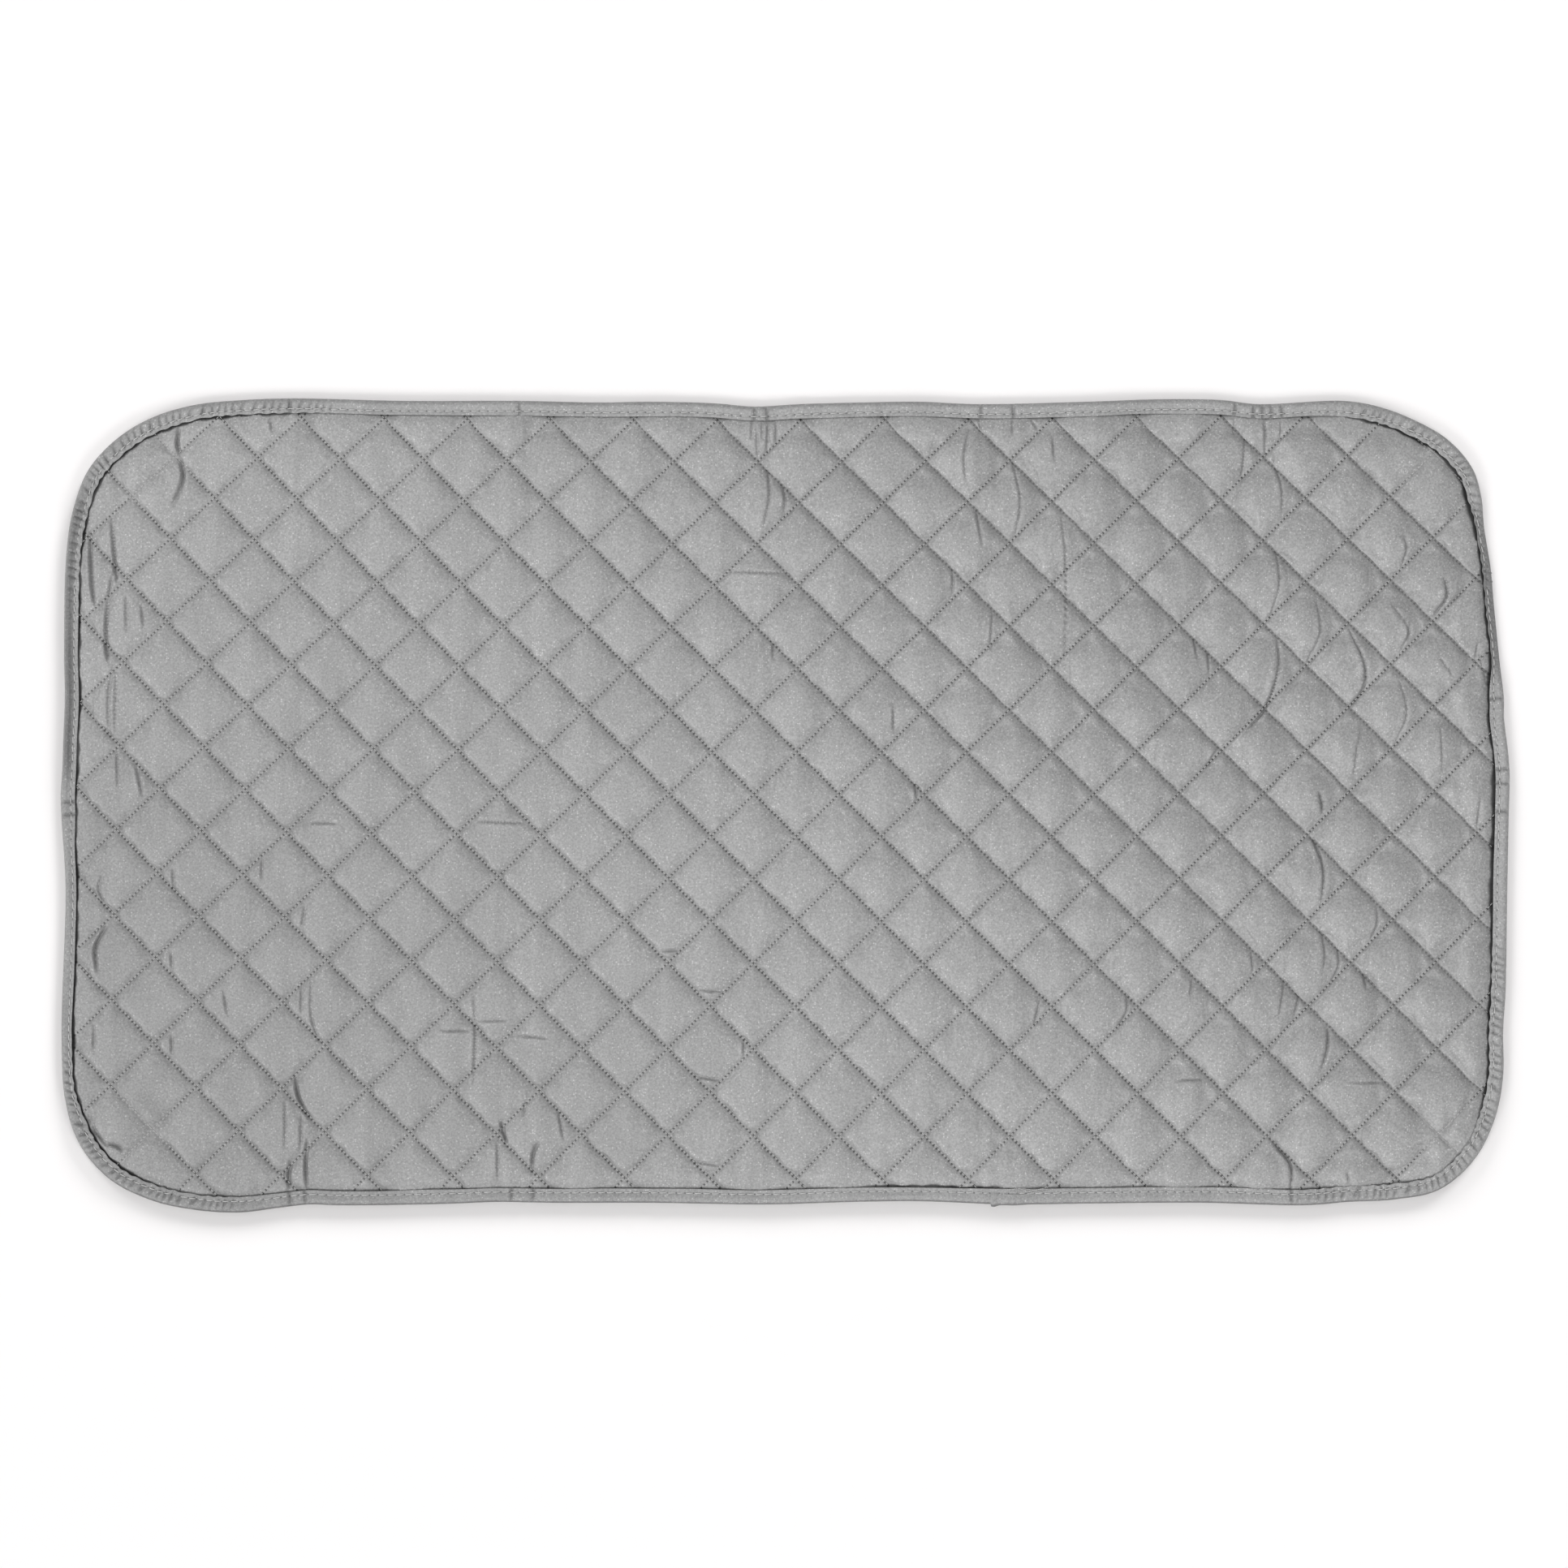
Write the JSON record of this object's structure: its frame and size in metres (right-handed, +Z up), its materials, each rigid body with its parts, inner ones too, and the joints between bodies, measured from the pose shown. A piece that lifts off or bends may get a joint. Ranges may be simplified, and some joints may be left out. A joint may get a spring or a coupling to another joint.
{
  "type": "ironing pad",
  "caption": "Flat quilted ironing pad with rounded corners, heat-reflecting grey cover, bound edge and corner magnets, laid on a table or a machine top to iron on",
  "frame": {"origin": "under the middle of the pad, on the plane it lies on", "axes": "+X along the length, +Y along the width away from the side with the lapped binding, +Z up out of the ironing face"},
  "size_m": [0.8256, 0.4634, 0.0081],
  "materials": {
    "cover_cloth": "silver-grey heat-reflecting coated weave, satin with a fine metallic speckle",
    "wadding_fibre": "soft white fibre",
    "felt": "dense needled felt",
    "backing_cloth": "plain grey weave",
    "binding_tape": "grey woven tape, matt",
    "thread": "grey sewing thread",
    "magnet": "plated disc magnet",
    "pocket_cloth": "white bonded cloth"
  },
  "bodies": {
    "root": {"top_cover": "cover_cloth", "wadding": "wadding_fibre", "heat_felt": "felt", "backing": "backing_cloth", "edge_binding": "binding_tape", "binding_seam_thread": "thread", "falling_quilt_thread": "thread", "rising_quilt_thread": "thread", "magnet_front_left": "magnet", "magnet_front_right": "magnet", "magnet_back_left": "magnet", "magnet_back_right": "magnet", "magnet_pocket_front_left": "pocket_cloth", "magnet_pocket_front_right": "pocket_cloth", "magnet_pocket_back_left": "pocket_cloth", "magnet_pocket_back_right": "pocket_cloth"}
  },
  "joints": []
}
